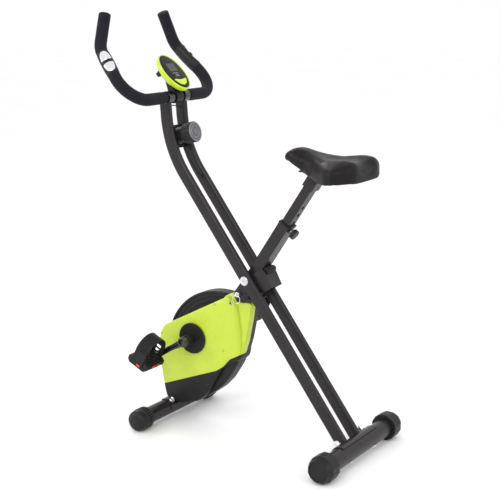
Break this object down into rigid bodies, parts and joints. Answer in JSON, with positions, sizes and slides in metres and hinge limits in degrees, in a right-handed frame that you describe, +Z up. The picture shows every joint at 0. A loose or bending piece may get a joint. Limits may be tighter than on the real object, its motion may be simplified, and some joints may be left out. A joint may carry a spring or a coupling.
{
  "type": "exercise bike",
  "caption": "Folding X-frame upright exercise bike with belt drive, curved handlebar, console, padded saddle and strapped pedals.",
  "frame": {"origin": "on the floor, below the middle of the whole bike, 25 mm in front of the folding pivot", "axes": "+X forward, towards the handlebar and the housing, +Y to the rider's left, +Z up; both feet stand on z = 0"},
  "size_m": [0.7723, 0.406, 1.1503],
  "materials": {
    "frame_paint": "satin dark grey",
    "black_plastic": "satin",
    "black_gloss": "gloss",
    "lime_plastic": "satin",
    "lime_trim": "gloss",
    "foam": "matte",
    "rubber": "matte",
    "zinc": "bright zinc",
    "steel": "machined",
    "cast": "machined rim",
    "chrome": "polished",
    "vinyl": "matte vinyl",
    "display": "gloss with printed marks",
    "knob_paint": "silver",
    "black_paint": "gloss black"
  },
  "bodies": {
    "front_frame": {"main_tube": "frame_paint", "front_foot_tube": "frame_paint", "front_foot_caps": "black_plastic", "front_foot_bolts": "zinc", "seat_bushing": "black_plastic", "crank_shell": "frame_paint", "bearings": "steel", "left_cover": "lime_plastic", "left_lower_cover": "black_plastic", "right_cover": "black_plastic", "cover_screws": "zinc", "drive_belt": "rubber", "speed_sensor": "black_plastic"},
    "crank": {"crank_axle": "steel", "drive_pulley": "black_plastic", "crank_discs": "black_plastic", "left_crank_arm": "black_paint", "right_crank_arm": "black_paint", "crank_nuts": "zinc", "pedal_spindles": "steel"},
    "left_pedal": {"left_pedal_body": "black_plastic", "left_pedal_strap": "rubber"},
    "right_pedal": {"right_pedal_body": "black_plastic", "right_pedal_strap": "rubber"},
    "flywheel_group": {"flywheel": "cast", "wheel_axle": "steel"},
    "magnet_group": {"magnet_arm": "frame_paint", "magnets": "steel"},
    "seat": {"seat_post": "frame_paint", "saddle_bracket": "frame_paint", "saddle_base": "black_plastic", "saddle_pad": "vinyl", "saddle_nuts": "zinc"},
    "seat_pin_body": {"seat_pin": "steel"},
    "seat_knob_body": {"seat_knob": "black_plastic"},
    "rear_frame": {"left_twin_tube": "frame_paint", "right_twin_tube": "frame_paint", "fold_yoke": "frame_paint", "stop_pad": "rubber", "pivot_bolt": "zinc", "rear_foot_plate": "frame_paint", "rear_foot_tube": "frame_paint", "rear_foot_bolts": "zinc", "handlebar": "black_paint", "handlebar_clamps": "black_paint", "grips": "foam", "pulse_sensors": "chrome", "console_bracket": "black_plastic", "console_case": "black_gloss", "console_bezel": "lime_trim", "console_screen": "display", "tension_base": "black_plastic", "tension_cable": "rubber", "sensor_wire": "rubber"},
    "left_cap": {"left_levelling_cap": "black_plastic"},
    "right_cap": {"right_levelling_cap": "black_plastic"},
    "mode_button": {"console_button": "lime_trim"},
    "knob": {"tension_knob": "knob_paint"},
    "pin": {"lock_pin": "zinc"},
    "ring": {"lock_ring": "zinc"}
  },
  "joints": [
    {"name": "frame_fold", "type": "hinge", "parent": "front_frame", "child": "rear_frame", "pos_m": [-0.025, 0, 0.447], "axis": [0, -1, 0], "range_deg": [0, 36]},
    {"name": "lock_pin_pull", "type": "slide", "parent": "rear_frame", "child": "pin", "axis": [0, 1, 0], "range_m": [-0.0065, 0.01]},
    {"name": "lock_ring_swing", "type": "hinge", "parent": "pin", "child": "ring", "pos_m": [0.00425, 0.042, 0.4028], "axis": [1, 0, 0], "range_deg": [0, 80]},
    {"name": "seat_slide", "type": "slide", "parent": "front_frame", "child": "seat", "axis": [-0.5519, 0, 0.8339], "range_m": [-0.075, 0.025]},
    {"name": "seat_pin_pull", "type": "slide", "parent": "front_frame", "child": "seat_pin_body", "axis": [-0.8339, 0, -0.5519], "range_m": [-0.0035, 0.006]},
    {"name": "seat_knob_turn", "type": "hinge", "parent": "seat_pin_body", "child": "seat_knob_body", "pos_m": [-0.15047, 0, 0.58221], "axis": [-0.8339, 0, -0.5519], "range_deg": [0, 360]},
    {"name": "crank_spin", "type": "hinge", "parent": "front_frame", "child": "crank", "pos_m": [0.154, 0, 0.255], "axis": [0, 1, 0], "continuous": true},
    {"name": "left_pedal_spin", "type": "hinge", "parent": "crank", "child": "left_pedal", "pos_m": [0.24407, 0, 0.203], "axis": [0, 1, 0], "continuous": true},
    {"name": "right_pedal_spin", "type": "hinge", "parent": "crank", "child": "right_pedal", "pos_m": [0.06393, 0, 0.307], "axis": [0, 1, 0], "continuous": true},
    {"name": "flywheel_spin", "type": "hinge", "parent": "front_frame", "child": "flywheel_group", "pos_m": [0.175, 0, 0.15], "axis": [0, 1, 0], "continuous": true},
    {"name": "tension_turn", "type": "hinge", "parent": "rear_frame", "child": "knob", "pos_m": [0.226, 0, 0.8132], "axis": [-0.9613, 0, 0.2756], "range_deg": [0, 280]},
    {"name": "magnet_swing", "type": "hinge", "parent": "front_frame", "child": "magnet_group", "pos_m": [0.12753, 0, 0.22171], "axis": [0, -1, 0], "range_deg": [0, 5]},
    {"name": "left_cap_turn", "type": "hinge", "parent": "rear_frame", "child": "left_cap", "pos_m": [-0.35049, 0.175, 0.035], "axis": [0, 1, 0], "range_deg": [-180, 180]},
    {"name": "right_cap_turn", "type": "hinge", "parent": "rear_frame", "child": "right_cap", "pos_m": [-0.35049, -0.175, 0.035], "axis": [0, 1, 0], "range_deg": [-180, 180]},
    {"name": "mode_button_press", "type": "slide", "parent": "rear_frame", "child": "mode_button", "axis": [0.7193, 0, -0.6947], "range_m": [0, 0.0018], "stiffness_N_per_m": 400}
  ],
  "couplings": [
    {"joint": "flywheel_spin", "follows": "crank_spin", "ratio": 5.4444},
    {"joint": "magnet_swing", "follows": "tension_turn", "ratio": 0.01786}
  ]
}
